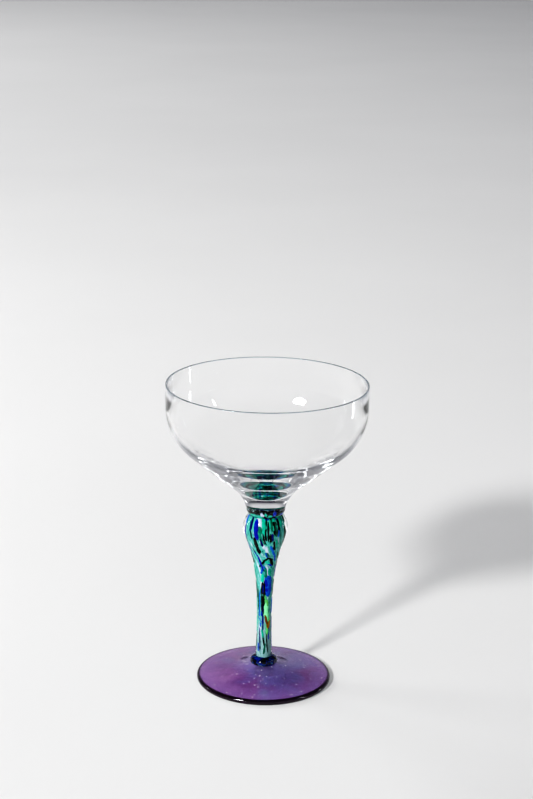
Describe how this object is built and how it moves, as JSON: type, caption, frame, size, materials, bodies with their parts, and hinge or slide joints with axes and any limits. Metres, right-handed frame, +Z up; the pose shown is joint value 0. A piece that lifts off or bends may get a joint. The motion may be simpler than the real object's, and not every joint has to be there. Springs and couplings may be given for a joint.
{
  "type": "champagne coupe",
  "caption": "Stemmed champagne coupe: wide shallow clear bowl, knopped stem with a twisted streaked colour core, and a round amethyst foot.",
  "frame": {"origin": "centre of the foot's resting plane", "axes": "+Z up the glass's axis of turning; +X and +Y are level and interchangeable"},
  "size_m": [0.102, 0.102, 0.16],
  "materials": {
    "clear_glass": "fire-polished",
    "dark_teal_glass": "fire-polished",
    "teal_glass": "fire-polished",
    "cobalt_glass": "fire-polished",
    "black_glass": "fire-polished",
    "jade_glass": "fire-polished",
    "lime_glass": "fire-polished",
    "amber_glass": "fire-polished",
    "navy_glass": "fire-polished",
    "amethyst_glass": "fire-polished"
  },
  "bodies": {
    "root": {"bowl": "clear_glass", "upper_collar": "dark_teal_glass", "stem_casing": "clear_glass", "stem_core": "teal_glass", "cobalt_streaks": "cobalt_glass", "black_streaks": "black_glass", "jade_streaks": "jade_glass", "lime_streaks": "lime_glass", "amber_fleck": "amber_glass", "base_collar": "navy_glass", "foot": "amethyst_glass"}
  },
  "joints": []
}
